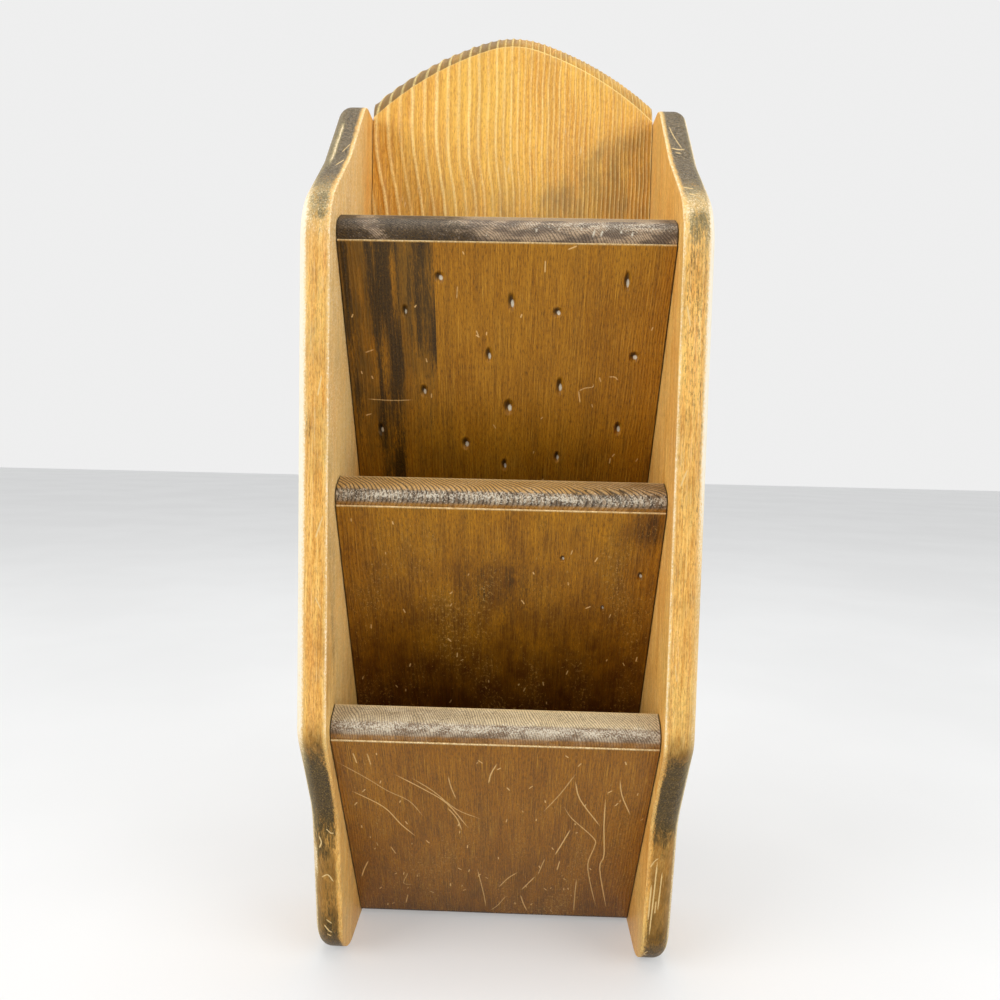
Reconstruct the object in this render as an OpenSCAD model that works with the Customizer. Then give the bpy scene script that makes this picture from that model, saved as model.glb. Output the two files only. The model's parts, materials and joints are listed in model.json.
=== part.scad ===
// Wall letter holder: a pine back board with an arched top stands between two
// shaped side boards, and three slanted boards make three V-shaped pockets.
// All joints are butt joints, fixed with finishing nails through the sides.
// Width runs along X, the wall is on the +Y side, and Z = 0 is the foot.

/* [Overall] */
// Width over both side boards
overall_w = 165; // [140:1:220]
// Height of the arch's crown above the foot
overall_h = 446; // [435:1:480]
// Distance from the wall to the front edges of the sides
side_depth = 96.5; // [90:0.5:110]

/* [Boards] */
// Thickness of each side board
side_t = 13.5; // [11:0.5:18]
// Thickness of the back board
back_t = 13.5; // [12:0.5:18]
// Thickness of each slanted pocket board
front_t = 13.5; // [11:0.5:16]
// Radius of the rounded edge on the arch and on the pocket boards
nose_r = 7; // [4:0.5:9]
// Depth of the small step that the rounding leaves in the face
nose_step = 0.8; // [0.3:0.1:1.5]
// Radius of the rounded outer edge of the sides
side_r = 6.5; // [3:0.5:7]

/* [Arch] */
// Radius of the crown in the middle of the arch
crown_r = 46; // [30:1:52]
// Half the angle that the crown's arc spans
crown_angle = 17.5; // [10:0.5:22]
// Radius of the flatter arc from the crown to each side
shoulder_r = 158; // [130:1:240]

/* [Side profile] */
// Height of the sides' flat top
side_h = 404; // [397:1:411]
// Reach of the flat top's front corner from the wall
top_reach = 28; // [22:1:32]
// Radius of that corner
top_r = 12; // [8:1:16]
// Reach of the bend below it, where the steep part meets the slope
bend_reach = 59; // [54:1:62]
// Drop from the flat top to that bend
bend_drop = 35; // [30:1:38]
// Radius of that hollow bend
bend_r = 40; // [20:5:80]
// Height at which the slope reaches the front edge
brow_h = 338; // [330:1:342]
// Radius of that corner
brow_r = 31; // [20:1:44]
// Height at which the front edge turns back to the waist
belly_h = 121; // [110:1:135]
// Radius of that corner
belly_r = 18; // [8:1:24]
// Reach of the waist
waist_reach = 71.5; // [66:0.5:76]
// Height of the waist
waist_h = 77; // [65:1:85]
// Radius of the hollow at the waist
waist_r = 45; // [20:1:55]
// Reach of the toe, where the front edge would meet the foot
toe_reach = 59; // [54:1:66]
// Radius of the rounded toe
toe_r = 24; // [12:1:34]

/* [Top pocket] */
// Height of the step line on the top pocket board
top_front_h = 325.5; // [318:0.5:332]
// Lean of the top pocket board from the vertical
top_lean = 28; // [24:0.5:31]
// Distance of its step line behind the front edges of the sides
top_setback = 9; // [6:0.5:14]

/* [Middle pocket] */
// Height of the step line on the middle pocket board
middle_front_h = 217.5; // [211:0.5:223]
// Lean of the middle pocket board from the vertical
middle_lean = 26.6; // [24:0.2:30]
// Distance of its step line behind the front edges of the sides
middle_setback = 11; // [6:0.5:14]

/* [Bottom pocket] */
// Height of the step line on the bottom pocket board
bottom_front_h = 119.5; // [112:0.5:125]
// Lean of the bottom pocket board from the vertical
bottom_lean = 31.2; // [28:0.2:33]
// Distance of its step line behind the front edges of the sides
bottom_setback = 6; // [5:0.5:12]
// Height of the bottom pocket board's lower end above the foot
foot_gap = 3; // [1:0.5:6]

/* [Pocket board ends] */
// Width of the blunt lower end of the upper pocket boards
tip_w = 3; // [1:0.5:5]

/* [Nails] */
// Length of a nail
nail_l = 32; // [28:1:38]
// Diameter of a nail's shank
nail_d = 1.6; // [1.2:0.1:2]
// Diameter of a nail's head
head_d = 2.6; // [2.4:0.1:3.4]
// Thickness of a nail's head
head_t = 1.2; // [0.8:0.1:1.6]
// Depth to which the heads are set below the surface
head_set = 0.8; // [0.3:0.1:1.5]
// Length of a nail's point
point_l = 3; // [2:0.5:4]
// Clearance all round a nail in its hole
nail_clear = 0.05; // [0.02:0.01:0.1]
// Number of nails into each edge of the back board
back_nails_n = 4; // [2:1:6]
// Distance of the outermost of them from the ends of the side's back edge
back_nail_margin = 34; // [20:1:50]
// Distance of a pocket board's upper nail below its step line
upper_nail_drop = 16; // [12:1:24]
// Distance between a pocket board's two nails, along the board
front_nail_pitch = 78; // [50:1:84]

/* [Hanging keyhole] */
// Height of the keyhole's round mouth, in the back of the back board
key_h = 372; // [360:1:395]
// Diameter of the round mouth, for a screw's head
key_mouth_d = 9.5; // [8:0.5:12]
// Width of the narrow slot, for the screw's shank
key_neck_w = 4.8; // [4:0.2:6]
// Travel from the mouth's centre to the slot's upper end
key_travel = 16; // [12:1:24]
// Depth of the keyhole
key_depth = 9; // [7:0.5:10]
// Thickness of the wood left beside the slot, which the screw's head hooks behind
key_lip = 3; // [2:0.5:4]

/* [Hidden] */

inner_w = overall_w - 2 * side_t;
arc_steps = 8;      // segments in each rounded corner of an outline
round_steps = 6;    // segments across each rounded edge
bore_fn = 32;
least_r = 0.5;      // the tightest that an inset corner becomes
margin = 1;         // how far a cutting tool runs past the wood

// Nails reach from the head's seat in the side into the end of the other board.
nail_bore_l = nail_l + head_set + margin;

// Flat outlines below are drawn as [reach from the wall, height].
// This turns them to stand on edge, extruded from X = 0 towards -X.
module on_edge() { rotate([90, 0, -90]) children(); }

// Puts the wall plane at the back of a frame whose Y = 0 is mid-depth.
module in_place() { translate([0, side_depth / 2, 0]) children(); }

// Rounded outlines

function unit(v) = v / norm(v);
function turn_sign(a, b, c) = sign((b.x - a.x) * (c.y - b.y) - (b.y - a.y) * (c.x - b.x));

// The arc that rounds corner b between a and c with radius r.
function corner_arc(a, b, c, r) =
    let (
        u = unit(a - b), v = unit(c - b),
        half = acos(u * v) / 2,
        tangent = r / tan(half),
        centre = b + unit(u + v) * r / sin(half),
        start = b + u * tangent - centre,
        sweep = turn_sign(a, b, c) * (180 - 2 * half)
    )
    [for (i = [0:arc_steps]) let (t = sweep * i / arc_steps)
        centre + [start.x * cos(t) - start.y * sin(t), start.x * sin(t) + start.y * cos(t)]];

// Where the lines p-q and r-s cross.
function crossing(p, q, r, s) =
    let (d = q - p, e = s - r, w = r - p)
    p + d * (w.x * e.y - w.y * e.x) / (d.x * e.y - d.y * e.x);

// The line a-b moved to its left by d.
function shifted(a, b, d) =
    let (n = unit([a.y - b.y, b.x - a.x]) * d) [a + n, b + n];

// Side boards

// Corners of the profile from the wall along the foot and up the front to the wall again.
side_corners = [
    [0, 0], [toe_reach, 0], [waist_reach, waist_h],
    [side_depth, belly_h], [side_depth, brow_h], [bend_reach, side_h - bend_drop],
    [top_reach, side_h], [0, side_h]
];
// Their radii; a hollow corner is negative.
side_radii = [0, toe_r, -waist_r, belly_r, brow_r, -bend_r, top_r, 0];

// Moving the outline inwards by d opens a hollow and tightens a bulge.
function inset_radius(r, d) = r < 0 ? d - r : max(r - d, least_r);

// The profile moved inwards by d everywhere but along the wall.
function side_outline(d) =
    let (
        n = len(side_corners),
        edges = [for (i = [0:n - 2]) shifted(side_corners[i], side_corners[i + 1], d)],
        wall = [side_corners[0], side_corners[n - 1]],
        inner = [for (i = [1:n - 2])
            crossing(edges[i - 1][0], edges[i - 1][1], edges[i][0], edges[i][1])],
        foot = crossing(edges[0][0], edges[0][1], wall[0], wall[1]),
        top = crossing(edges[n - 2][0], edges[n - 2][1], wall[0], wall[1]),
        p = concat([foot], inner, [top])
    )
    concat(
        [foot],
        [for (i = [1:n - 2]) each
            corner_arc(p[i - 1], p[i], p[i + 1], inset_radius(side_radii[i], d))],
        [top]
    );

// A solid through outlines with equal point counts: sections is a list of [height, points].
module stacked(sections) {
    n = len(sections[0][1]);
    m = len(sections);
    polyhedron(
        points = [for (s = sections) for (p = s[1]) [p.x, p.y, s[0]]],
        faces = concat(
            [[for (i = [0:n - 1]) i]],
            [for (k = [0:m - 2]) for (i = [0:n - 1]) let (j = (i + 1) % n)
                each [[k * n + i, (k + 1) * n + i, (k + 1) * n + j],
                      [k * n + i, (k + 1) * n + j, k * n + j]]],
            [[for (i = [n - 1:-1:0]) (m - 1) * n + i]]
        )
    );
}

// [distance from the face where a rounding of radius r ends, inset] across the rounded edge.
function rounding(r) = [for (i = [0:round_steps]) let (a = 90 * i / round_steps)
    [r * sin(a), r * (1 - cos(a))]];

module side_board() {
    on_edge() stacked(concat(
        [[0, side_outline(0)]],
        [for (s = rounding(side_r)) [side_t - side_r + s[0], side_outline(s[1])]]
    ));
}

// The left side lies between X = -overall_w / 2 and -inner_w / 2.
module left_side() {
    color("goldenrod") in_place() difference() {
        translate([-inner_w / 2, 0, 0]) side_board();
        for (p = all_nail_points) nail_bore(p, -1);
    }
}

module right_side() {
    color("goldenrod") in_place() difference() {
        mirror([1, 0, 0]) translate([-inner_w / 2, 0, 0]) side_board();
        for (p = all_nail_points) nail_bore(p, 1);
    }
}

// Back board

crown_centre = [0, overall_h - crown_r];
shoulder_centre_x = -(shoulder_r - crown_r) * sin(crown_angle);
shoulder_centre_z = crown_centre.y - (shoulder_r - crown_r) * cos(crown_angle);

// Right half of the arch, moved inwards by d, from the board's edge to the crown.
function half_arch(d) =
    let (
        r = shoulder_r - d,
        edge_angle = asin((inner_w / 2 - shoulder_centre_x) / r)
    )
    concat(
        [for (i = [0:arc_steps]) let (a = edge_angle + (crown_angle - edge_angle) * i / arc_steps)
            [shoulder_centre_x + r * sin(a), shoulder_centre_z + r * cos(a)]],
        [for (i = [1:arc_steps]) let (a = crown_angle * (1 - i / arc_steps))
            [(crown_r - d) * sin(a), crown_centre.y + (crown_r - d) * cos(a)]]
    );

function back_outline(d) =
    let (right = half_arch(d), n = len(right))
    concat(
        [[inner_w / 2, 0]],
        right,
        [for (i = [n - 2:-1:0]) [-right[i].x, right[i].y]],
        [[-inner_w / 2, 0]]
    );

module keyhole() {
    rotate([90, 0, 0]) {
        translate([0, key_h, -margin])
            cylinder(d = key_mouth_d, h = key_depth + margin, $fn = bore_fn);
        translate([0, key_h + key_travel, -margin])
            cylinder(d = key_neck_w, h = key_depth + margin, $fn = bore_fn);
        translate([-key_neck_w / 2, key_h, -margin])
            cube([key_neck_w, key_travel, key_depth + margin]);
        translate([0, key_h + key_travel, key_lip])
            cylinder(d = key_mouth_d, h = key_depth - key_lip, $fn = bore_fn);
        translate([-key_mouth_d / 2, key_h, key_lip])
            cube([key_mouth_d, key_travel, key_depth - key_lip]);
    }
}

module back_board() {
    color("peru") in_place() difference() {
        rotate([90, 0, 0]) stacked(concat(
            [[0, back_outline(0)]],
            [for (s = rounding(nose_r)) [back_t - nose_step - nose_r + s[0], back_outline(s[1])]],
            [[back_t, back_outline(nose_r)]]
        ));
        keyhole();
        for (p = back_nail_points, s = [-1, 1]) nail_bore(p, s);
    }
}

// Pocket boards

// Each pocket board is [reach of its step line, height of its step line, lean].
top_pocket = [side_depth - top_setback, top_front_h, top_lean];
middle_pocket = [side_depth - middle_setback, middle_front_h, middle_lean];
bottom_pocket = [side_depth - bottom_setback, bottom_front_h, bottom_lean];

// The point down the board's front face by s and into its thickness by w.
function board_point(b, s, w) = [
    b[0] - s * sin(b[2]) - w * cos(b[2]),
    b[1] - s * cos(b[2]) + w * sin(b[2])
];

// Height at which the front face is tip_w away from the back board.
function tip_height(b) = b[1] - (b[0] - back_t - tip_w) / tan(b[2]);

// Section across the board's upper end: front face on x = 0, step line at the origin.
module nosed_strip(length) {
    difference() {
        translate([-front_t, -length]) square([front_t, length + nose_r]);
        translate([-nose_step - nose_r, 0]) difference() {
            square([nose_step + nose_r + margin, nose_r + margin]);
            circle(nose_r, $fn = 64);
        }
    }
}

// The slanted board, cut upright where it meets the back board and level at its lower end.
module pocket_board(b, nail_points) {
    lower_end = max(foot_gap, tip_height(b));
    color("saddlebrown") in_place() difference() {
        translate([inner_w / 2, 0, 0]) on_edge() linear_extrude(inner_w) intersection() {
            translate([b[0], b[1]]) rotate(-b[2]) nosed_strip(side_h);
            translate([back_t, lower_end]) square([side_depth, overall_h]);
        }
        for (p = nail_points, s = [-1, 1]) nail_bore(p, s);
    }
}

module top_pocket_board() { pocket_board(top_pocket, top_nail_points); }
module middle_pocket_board() { pocket_board(middle_pocket, middle_nail_points); }
module bottom_pocket_board() { pocket_board(bottom_pocket, bottom_nail_points); }

// Nails

function back_nail_height(i) =
    back_nail_margin + i * (side_h - 2 * back_nail_margin) / (back_nails_n - 1);
back_nail_points = [for (i = [0:back_nails_n - 1]) [back_t / 2, back_nail_height(i)]];

function front_nail_points(b) = [for (s = [upper_nail_drop, upper_nail_drop + front_nail_pitch])
    board_point(b, s, front_t / 2)];
top_nail_points = front_nail_points(top_pocket);
middle_nail_points = front_nail_points(middle_pocket);
bottom_nail_points = front_nail_points(bottom_pocket);
all_nail_points = concat(back_nail_points, top_nail_points, middle_nail_points, bottom_nail_points);

// Puts a child, drawn along +Z from the side's outer face inwards, at a nail point.
module at_nail(p, side) {
    translate([side * overall_w / 2, -p.x, p.y]) rotate([0, -side * 90, 0]) children();
}

module nail_bore(p, side) {
    at_nail(p, side) {
        cylinder(d = nail_d + 2 * nail_clear, h = nail_bore_l, $fn = bore_fn);
        translate([0, 0, -margin])
            cylinder(d = head_d + 2 * nail_clear, h = margin + head_set + head_t, $fn = bore_fn);
    }
}

module nail() {
    translate([0, 0, head_set]) {
        cylinder(d = head_d, h = head_t, $fn = bore_fn);
        cylinder(d = nail_d, h = nail_l - point_l, $fn = bore_fn);
        translate([0, 0, nail_l - point_l])
            cylinder(d1 = nail_d, d2 = 0, h = point_l, $fn = bore_fn);
    }
}

module nails(points) {
    color("dimgray") in_place() for (p = points, s = [-1, 1]) at_nail(p, s) nail();
}

module back_board_nails() { nails(back_nail_points); }
module top_pocket_nails() { nails(top_nail_points); }
module middle_pocket_nails() { nails(middle_nail_points); }
module bottom_pocket_nails() { nails(bottom_nail_points); }

back_board();
left_side();
right_side();
top_pocket_board();
middle_pocket_board();
bottom_pocket_board();
back_board_nails();
top_pocket_nails();
middle_pocket_nails();
bottom_pocket_nails();
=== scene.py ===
import json
from math import cos, radians, sin, tan

import bmesh
import bpy
import numpy as np
from mathutils import Matrix, Vector, noise

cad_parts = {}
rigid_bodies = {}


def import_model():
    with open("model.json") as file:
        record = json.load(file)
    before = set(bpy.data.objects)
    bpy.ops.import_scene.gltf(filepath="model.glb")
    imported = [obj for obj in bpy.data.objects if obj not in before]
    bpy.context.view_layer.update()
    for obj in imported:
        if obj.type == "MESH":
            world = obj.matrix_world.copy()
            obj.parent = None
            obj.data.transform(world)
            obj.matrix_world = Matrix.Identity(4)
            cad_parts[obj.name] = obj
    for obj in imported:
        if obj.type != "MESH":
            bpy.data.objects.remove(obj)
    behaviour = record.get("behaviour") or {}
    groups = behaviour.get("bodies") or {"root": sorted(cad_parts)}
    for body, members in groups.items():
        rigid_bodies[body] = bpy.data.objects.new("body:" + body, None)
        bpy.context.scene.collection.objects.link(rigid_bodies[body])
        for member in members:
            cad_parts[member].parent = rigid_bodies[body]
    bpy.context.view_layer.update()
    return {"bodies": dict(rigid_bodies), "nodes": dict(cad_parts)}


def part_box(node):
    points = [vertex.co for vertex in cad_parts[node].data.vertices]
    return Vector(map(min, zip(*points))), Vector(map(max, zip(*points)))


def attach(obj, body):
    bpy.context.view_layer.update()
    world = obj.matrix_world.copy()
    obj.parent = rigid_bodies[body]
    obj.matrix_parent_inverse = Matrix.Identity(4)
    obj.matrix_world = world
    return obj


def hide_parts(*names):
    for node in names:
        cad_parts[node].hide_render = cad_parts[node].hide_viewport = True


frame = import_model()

# Lengths are in millimetres until a mesh is made.
# Wood is worked out in the holder's own directions: x across, reach from the wall, z up.
MM = 0.001
ROOT = next(iter(frame["bodies"]))
rng = np.random.default_rng(7)

side_low, side_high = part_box("right_side")
HALF_W = side_high[0] / MM
INNER_W = side_low[0] / MM
DEPTH = (side_high[1] - side_low[1]) / MM
WALL_Y = side_high[1] / MM
SIDE_H = side_high[2] / MM
ARCH_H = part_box("back_board")[1][2] / MM
SIDE_T = HALF_W - INNER_W
BACK_T = WALL_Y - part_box("back_board")[0][1] / MM

# The side boards' outline as [reach, z] and their outer rounding, as in the solids
SIDE_ROUND = 6.5
SIDE_CORNERS = [(0, 0), (59, 0), (71.5, 77), (DEPTH, 121), (DEPTH, 338), (59, SIDE_H - 35),
                (28, SIDE_H), (0, SIDE_H)]
SIDE_RADII = [0, 24, -45, 18, 31, -40, 12, 0]

# The arch and the rounding along it
CROWN_R, CROWN_ANGLE, SHOULDER_R = 46, radians(17.5), 158
NOSE_R, NOSE_STEP = 7, 0.8

# Each pocket board: reach and height of its step line, lean, height of its lower end
BOARD_T = 13.5
FOOT_GAP, TIP_W = 3, 3
POCKETS = {"top": (DEPTH - 9, 325.5, radians(28)),
           "middle": (DEPTH - 11, 217.5, radians(26.6)),
           "bottom": (DEPTH - 6, 119.5, radians(31.2))}
END_GAP = 0.35        # the dark gap at each end of a board

# How strong each mark is at the points of a wood mesh. growth counts the growth lines up to there.
MARKS = ("end", "worn", "stain", "scar", "shade", "rub", "painted_recess_shade", "glint_and_chips", "scuff", "flat", "growth", "ridge")

# Where a board's grain starts in the wood, so that no two boards look alike. The left side's is at 0.
WOOD_START = dict(side=130, top=150, back=300, middle=350, bottom=550)

GOLDEN = 0.618        # its multiples spread strengths evenly
SHARP_ANGLE = radians(32)
DIVISIONS = 3         # how often the faces near a mark are divided


# Shader building

def srgb(*values):
    """A colour written as 0 to 255 on a screen, as the numbers that a shader takes."""
    return tuple(((v / 255 + 0.055) / 1.055) ** 2.4 if v > 10 else v / 3295 for v in values) + (1.0,)


class Nodes:
    """Fills a material or a world with nodes. Each method returns the output that the next one takes."""

    def __init__(self, owner):
        owner.use_nodes = True
        self.owner = owner
        self.tree = owner.node_tree
        self.tree.nodes.clear()

    def add(self, kind, inputs=(), **settings):
        node = self.tree.nodes.new(kind)
        for key, value in settings.items():
            setattr(node, key, value)
        for key, value in dict(inputs).items():
            if isinstance(value, bpy.types.NodeSocket):
                self.tree.links.new(value, node.inputs[key])
            else:
                node.inputs[key].default_value = value
        return node

    def math(self, operation, a, b=0.0):
        return self.add("ShaderNodeMath", {0: a, 1: b}, operation=operation).outputs[0]

    def times(self, product, *factors):
        for factor in factors:
            product = self.math("MULTIPLY", product, factor)
        return product

    def sum(self, *terms):
        """The sum of the terms, each a value and its weight."""
        total = None
        for value, weight in terms:
            part = value if weight == 1.0 else self.times(value, weight)
            total = part if total is None else self.math("ADD", total, part)
        return total

    def mix(self, factor, a, b):
        return self.add("ShaderNodeMix", {0: factor, 6: a, 7: b}, data_type="RGBA").outputs[2]

    def attribute(self, name):
        return self.add("ShaderNodeAttribute", attribute_name=name)

    def value(self, name):
        return self.attribute(name).outputs["Fac"]

    def stretched(self, vector, across, deep, along):
        return self.add("ShaderNodeVectorMath", {0: vector, 1: (across, deep, along)},
                        operation="MULTIPLY").outputs[0]

    def noise(self, vector, scale=1.0, detail=3.0, roughness=0.55):
        return self.add("ShaderNodeTexNoise", {"Vector": vector, "Scale": scale, "Detail": detail,
                                               "Roughness": roughness}).outputs["Fac"]

    def smooth(self, value, low, high, to_low=0.0, to_high=1.0):
        """A smooth step of value from low to high."""
        return self.add("ShaderNodeMapRange", {"Value": value, "From Min": low, "From Max": high,
                                               "To Min": to_low, "To Max": to_high},
                        interpolation_type="SMOOTHSTEP").outputs["Result"]

    def bump(self, height, distance, normal=None):
        inputs = {"Height": height, "Distance": distance, "Strength": 1.0}
        if normal:
            inputs["Normal"] = normal
        return self.add("ShaderNodeBump", inputs).outputs["Normal"]

    def principled(self, inputs):
        shader = self.add("ShaderNodeBsdfPrincipled", inputs)
        output = self.add("ShaderNodeOutputMaterial")
        self.tree.links.new(shader.outputs[0], output.inputs[0])


# The tones of stained pine, where a board doesn't give its own
PALETTE = dict(
    light=(246, 196, 104), dark=(206, 150, 66), streak=(170, 114, 44), fleck=(140, 92, 36),
    olive=(120, 98, 44), line=(196, 128, 50), shade=(120, 84, 40), bright=(255, 226, 150),
    end=(112, 94, 74), end_pale=(150, 126, 98), end_top=(176, 152, 120), end_line=(46, 34, 24),
    rub=(222, 212, 190), cream=(246, 230, 184), stain=(50, 46, 36), stain_light=(120, 110, 86),
    scar=(222, 190, 130), chip=(222, 190, 130), pale=(236, 208, 146))


def wood(name, pitch, pith, ring_share=0.2, streak_share=0.4, olive_share=0.15, grit=0.5, chip_share=0.5,
         end_share=1.0, pore_share=0.2, gloss=0.35, **tones):
    """Stained pine. Its meshes carry grain (across, deep, along in mm) and the values of MARKS.

    pitch is the spacing of the growth rings and pith the place across and in depth that they go round.
    """
    tones = {key: srgb(*value) for key, value in {**PALETTE, **tones}.items()}
    n = Nodes(bpy.data.materials.new(name))
    grain = n.attribute("grain").outputs["Vector"]
    split = n.add("ShaderNodeSeparateXYZ", {0: grain})
    mark = {key: n.value(key) for key in MARKS}

    # Broad clouds, bands along the grain, fibres, short flecks and grit
    clouds = n.noise(n.stretched(grain, 0.045, 0.05, 0.018), detail=4)
    bands = n.noise(n.stretched(grain, 0.22, 0.22, 0.007), detail=4, roughness=0.6)
    fibre = n.noise(n.stretched(grain, 1.1, 1.1, 0.045), detail=4, roughness=0.7)
    flecks = n.noise(n.stretched(grain, 1.9, 1.9, 0.4), detail=3, roughness=0.75)
    speck = n.noise(n.stretched(grain, 1.3, 1.3, 1.1), detail=3, roughness=0.8)

    # Growth rings about the pith, wavy along the board
    sway = n.noise(n.stretched(grain, 0.04, 0.04, 0.01), detail=2)
    dx = n.math("ADD", n.math("SUBTRACT", split.outputs[0], pith[0]), n.times(sway, 12.0))
    dw = n.math("SUBTRACT", split.outputs[1], pith[1])
    radius = n.math("SQRT", n.math("ADD", n.times(dx, dx), n.times(dw, dw)))
    phase = n.math("FRACT", n.math("DIVIDE", radius, pitch))
    late = n.times(n.smooth(phase, 0.4, 0.75), n.smooth(phase, 1.0, 0.85))

    tone = n.sum((clouds, 1.3), (bands, 1.2), (fibre, 1.6), (speck, 0.6))
    colour = n.mix(n.smooth(tone, 2.0, 2.7), tones["dark"], tones["light"])

    def lay(key, *factors):
        """Lays a tone over the colour, as strongly as the product of the factors."""
        nonlocal colour
        colour = n.mix(n.times(*factors), colour, tones[key])

    lay("streak", n.smooth(bands, 0.5, 0.62), streak_share)
    lay("line", late, n.smooth(fibre, 0.4, 0.6), ring_share)
    lay("olive", n.smooth(n.sum((speck, 0.6), (clouds, 0.8)), 0.68, 0.86), olive_share)
    lay("fleck", n.smooth(flecks, 0.5, 0.64), grit)
    lay("light", n.smooth(flecks, 0.48, 0.34), grit)

    # Long thin pores, dark and bright, in patches
    mottle = n.noise(n.stretched(grain, 0.14, 0.14, 0.07), detail=5, roughness=0.65)
    pores = n.noise(n.stretched(grain, 2.4, 2.4, 0.045), detail=4, roughness=0.75)
    porous = n.times(n.smooth(mottle, 0.42, 0.6, 0.35, 1.0), pore_share)
    lay("fleck", n.smooth(pores, 0.52, 0.64), porous)
    lay("bright", n.smooth(pores, 0.48, 0.36), porous)

    # A deeper tone, feathered along the fibres: deeper stain, and also painted shade low on the pocket boards
    # and a painted shadow on the back board's right
    veil = n.sum((mark["shade"], 1.0), (fibre, 0.5), (bands, 0.3), (mottle, 1.0))
    lay("shade", n.smooth(veil, 0.85, 1.75), n.smooth(mark["shade"], 0.0, 0.08))

    # Hard growth lines that stand proud, with a painted highlight on top and painted shade on one side
    line_phase = n.math("FRACT", mark["growth"])
    off_line = n.math("ABSOLUTE", n.math("SUBTRACT", line_phase, 0.5))
    proud = n.times(n.smooth(off_line, 0.19, 0.05), mark["ridge"])
    painted_shade_side = n.times(n.smooth(line_phase, 0.62, 0.72), n.smooth(line_phase, 0.95, 0.8))
    broken = n.smooth(n.sum((fibre, 0.5), (speck, 0.8)), 0.5, 0.78, 0.3, 1.0)
    lay("fleck", painted_shade_side, mark["ridge"], 0.3)
    lay("cream", proud, broken, 0.8)

    # End grain takes the stain deeper and shows each ring
    patchy = n.noise(n.stretched(grain, 0.1, 0.25, 0.25), detail=3)
    end_tone = n.mix(n.smooth(patchy, 0.4, 0.62), tones["end"], tones["end_pale"])
    end_tone = n.mix(n.times(mark["flat"], 0.8), end_tone, tones["end_top"])
    end_tone = n.mix(n.times(n.smooth(speck, 0.5, 0.36), 0.55), end_tone, tones["end_line"])
    lines = n.times(late, n.smooth(speck, 0.3, 0.6, 0.45, 0.95), end_share)
    end_tone = n.mix(lines, end_tone, tones["end_line"])
    # A band of painted sheen round the nose, in pale speckles
    silver = n.noise(n.stretched(grain, 1.6, 1.6, 1.6), detail=2, roughness=0.7)
    rubbed = n.smooth(n.sum((mark["rub"], 0.5), (silver, 2.4), (patchy, 0.5)), 1.7, 2.2)
    end_tone = n.mix(n.times(rubbed, 0.66), end_tone, tones["rub"])
    colour = n.mix(n.smooth(mark["end"], 0.3, 0.7), colour, end_tone)

    # Nearly black stain in patches
    feather = n.sum((bands, 1.2), (fibre, 1.8), (speck, 0.6))
    blot = n.smooth(n.sum((mark["stain"], 1.2), (feather, 0.8), (flecks, 1.1)), 2.25, 2.75)
    blot = n.times(blot, n.smooth(mark["stain"], 0.02, 0.1))
    greyed = n.mix(n.times(mark["rub"], 0.45), tones["stain_light"], tones["rub"])
    blot_tone = n.mix(n.smooth(n.sum((flecks, 0.5), (speck, 0.6)), 0.47, 0.7), tones["stain"], greyed)
    colour = n.mix(n.times(blot, 0.93), colour, blot_tone)

    # Gold flecks of wood that show through the stain, but not on end grain
    gilt = n.times(n.smooth(flecks, 0.45, 0.37), n.smooth(mark["end"], 0.5, 0.0))
    lay("light", blot, gilt, 0.2)

    # Bare wood where the arrises are worn, and where the surface is scratched or chipped. In the dents,
    # painted shade on one side and a painted highlight on the other
    ragged = n.sum((mark["worn"], 1.0), (fibre, 0.5), (speck, 1.2))
    bare = n.times(n.smooth(ragged, 1.1, 1.55), n.smooth(mark["worn"], 0.03, 0.15))
    cream = n.mix(n.smooth(ragged, 1.25, 1.75), n.mix(0.5, tones["cream"], tones["light"]), tones["cream"])
    # A pale wash over worn places, which on the left side's inner face is painted light
    lay("pale", mark["worn"], 0.65)
    colour = n.mix(bare, colour, cream)
    chips = n.noise(n.stretched(grain, 0.8, 0.8, 0.6), detail=4, roughness=0.8)
    chips = n.smooth(n.sum((chips, 1.0), (mark["scuff"], 0.12), (clouds, 0.4)), 0.9, 0.98)
    lay("chip", chips, chip_share)
    scarred = n.smooth(n.sum((mark["scar"], 1.0), (speck, 0.7)), 0.45, 1.05)
    lay("scar", scarred, 0.95)
    # Painted shade in the dents and in the gaps at the boards' ends
    lay("stain", n.smooth(mark["painted_recess_shade"], 0.1, 0.8), 0.85)
    # A painted highlight in the dents, and bare wood in the nose's chips
    lay("rub", n.smooth(n.sum((mark["glint_and_chips"], 1.0), (speck, 0.5)), 0.5, 0.95))

    # Satin lacquer over fibres that stand up a little
    rough = n.smooth(n.sum((fibre, 0.5), (mark["worn"], 0.5), (speck, 0.4)), 0.3, 1.0, 0.42, 0.66)
    normal = n.bump(n.sum((fibre, 0.7), (late, 0.35), (proud, 0.8)), 0.00025)
    normal = n.bump(n.sum((flecks, 0.6), (speck, 0.6)), 0.00012, normal)
    n.principled({"Base Color": colour, "Roughness": rough, "Normal": normal, "Specular IOR Level": gloss,
                  "Coat Weight": 0.04, "Coat Roughness": 0.3})
    return n.owner


def nail_steel():
    n = Nodes(bpy.data.materials.new("nail_steel"))
    place = n.add("ShaderNodeTexCoord").outputs["Object"]
    mottled = n.noise(place, scale=900, detail=4)
    colour = n.mix(n.smooth(mottled, 0.4, 0.62), srgb(120, 116, 110), srgb(78, 60, 44))
    n.principled({"Base Color": colour, "Metallic": 0.85, "Roughness": n.smooth(mottled, 0.3, 0.7, 0.35, 0.7),
                  "Normal": n.bump(mottled, 0.00005)})
    return n.owner


# Outlines

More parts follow.
